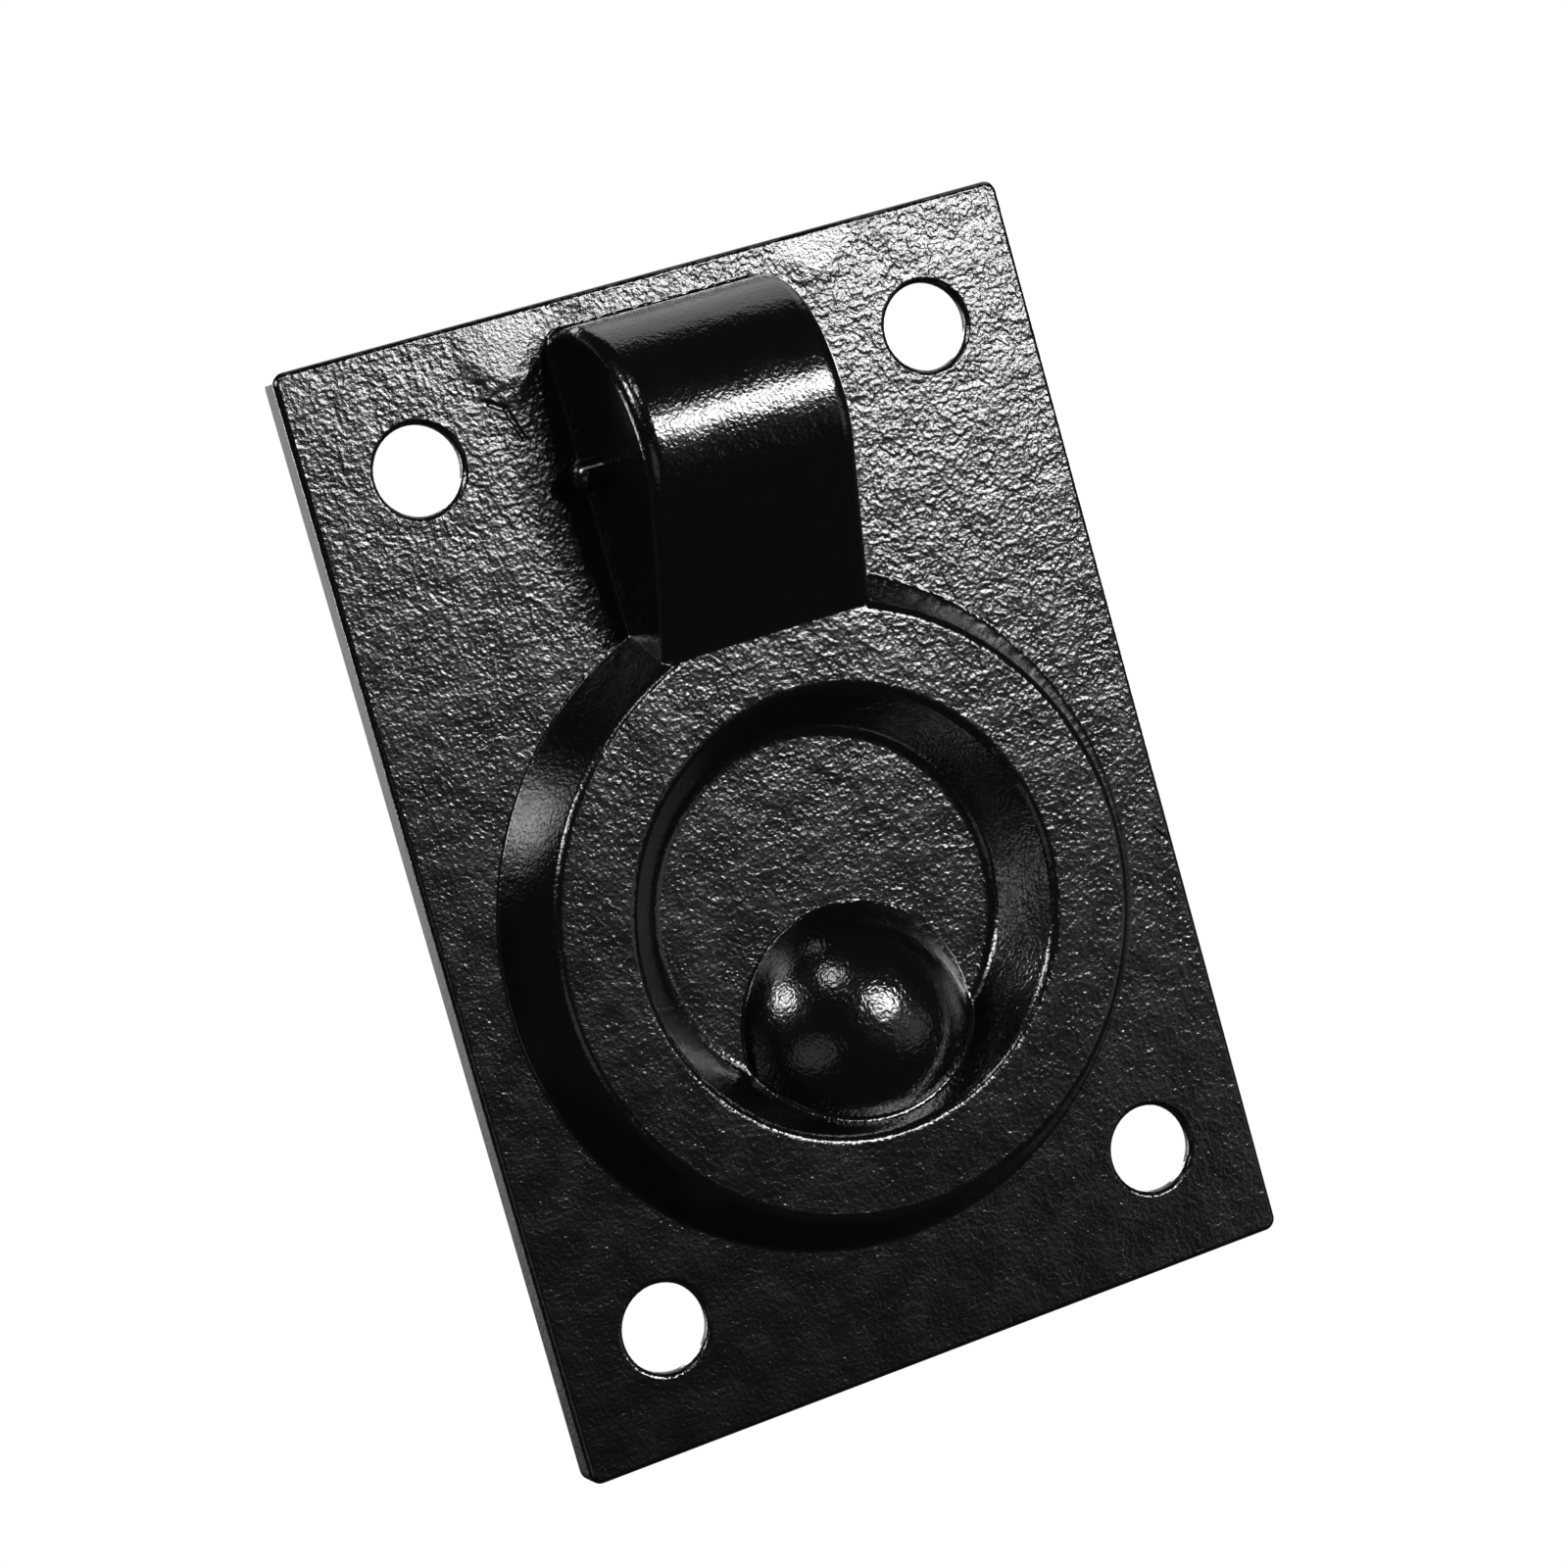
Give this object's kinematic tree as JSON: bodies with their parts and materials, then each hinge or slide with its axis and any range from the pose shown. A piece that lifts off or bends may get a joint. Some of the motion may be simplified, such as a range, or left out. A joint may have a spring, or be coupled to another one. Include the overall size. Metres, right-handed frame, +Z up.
{
  "type": "recessed ring pull handle",
  "caption": "Recessed pull handle: a cast rectangular plate with a ring lying in a round groove, a finger hollow under it and a hinge housing on the rear.",
  "frame": {"origin": "middle of the four fixing holes, on the plate's rear face, which seats on the door or hatch", "axes": "+Z up along the plate's length, from the ring to its hinge; -Y out of the front, where the ring is; +Y out of the rear, where the trough and the hinge housing stand up; X across the plate, along the hinge pin"},
  "size_m": [0.07, 0.018, 0.1],
  "materials": {
    "casting_enamel": "black enamel over a cast surface, glossy with a fine wrinkle on the flats",
    "ring_enamel": "smooth black enamel over a cast ring",
    "pin_enamel": "black enamel over a steel pin"
  },
  "bodies": {
    "plate": {"plate_casting": "casting_enamel", "hinge_pin": "pin_enamel"},
    "ring": {"pull_ring": "ring_enamel"}
  },
  "joints": [
    {"name": "ring_hinge", "type": "hinge", "parent": "plate", "child": "ring", "pos_m": [0, 0.0033, 0.0346], "axis": [-1, 0, 0], "range_deg": [0, 100]}
  ]
}
